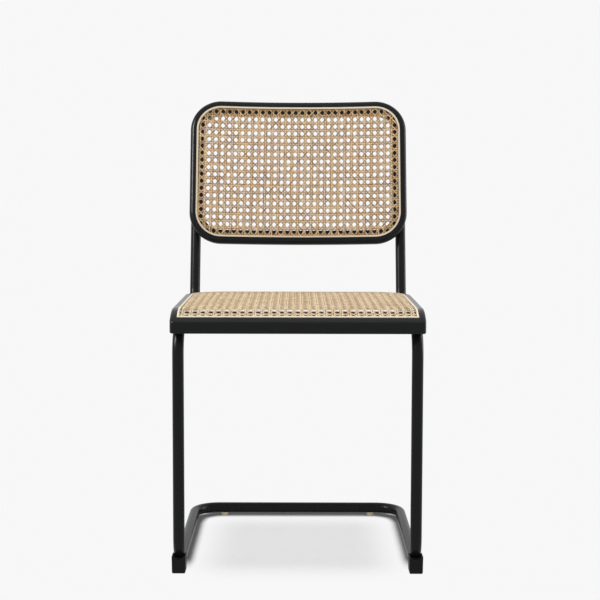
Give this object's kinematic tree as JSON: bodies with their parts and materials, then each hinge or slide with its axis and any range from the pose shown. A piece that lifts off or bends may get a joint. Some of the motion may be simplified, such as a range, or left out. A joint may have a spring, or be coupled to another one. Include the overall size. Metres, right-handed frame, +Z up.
{
  "type": "cantilever chair",
  "caption": "Cantilever dining chair: black bent steel tube carrying a black wooden seat frame and backrest frame, both filled with woven cane.",
  "frame": {"origin": "on the floor, under the middle of the chair's overall box", "axes": "+Z up, -Y the way the sitter faces, +X to the right as seen from the front"},
  "size_m": [0.438, 0.5332, 0.8397],
  "materials": {
    "black_tube": "satin black powder coat on steel tube",
    "black_plastic": "moulded black plastic",
    "pale_plastic": "pale translucent moulded plastic",
    "black_wood": "black stained and lacquered beech, satin",
    "plain_beech": "bare beech dowel",
    "cane": "natural woven cane",
    "reed_spline": "natural reed spline",
    "black_steel": "black plated steel",
    "insert_brass": "plain brass"
  },
  "bodies": {
    "root": {"tube_frame": "black_tube", "left_tube_end_plug": "black_plastic", "right_tube_end_plug": "black_plastic", "left_front_foot": "black_plastic", "right_front_foot": "black_plastic", "left_rear_glide": "pale_plastic", "right_rear_glide": "pale_plastic", "seat_front_rail": "black_wood", "seat_bent_rim": "black_wood", "seat_corner_dowels": "plain_beech", "seat_cane": "cane", "seat_front_spline": "reed_spline", "seat_rim_spline": "reed_spline", "seat_screws": "black_steel", "seat_screw_washers": "black_steel", "seat_screw_inserts": "insert_brass", "backrest_upper_bow": "black_wood", "backrest_lower_bow": "black_wood", "backrest_joint_dowels": "plain_beech", "backrest_cane": "cane", "backrest_spline": "reed_spline", "backrest_screws": "black_steel", "backrest_screw_washers": "black_steel", "backrest_screw_inserts": "insert_brass"}
  },
  "joints": []
}
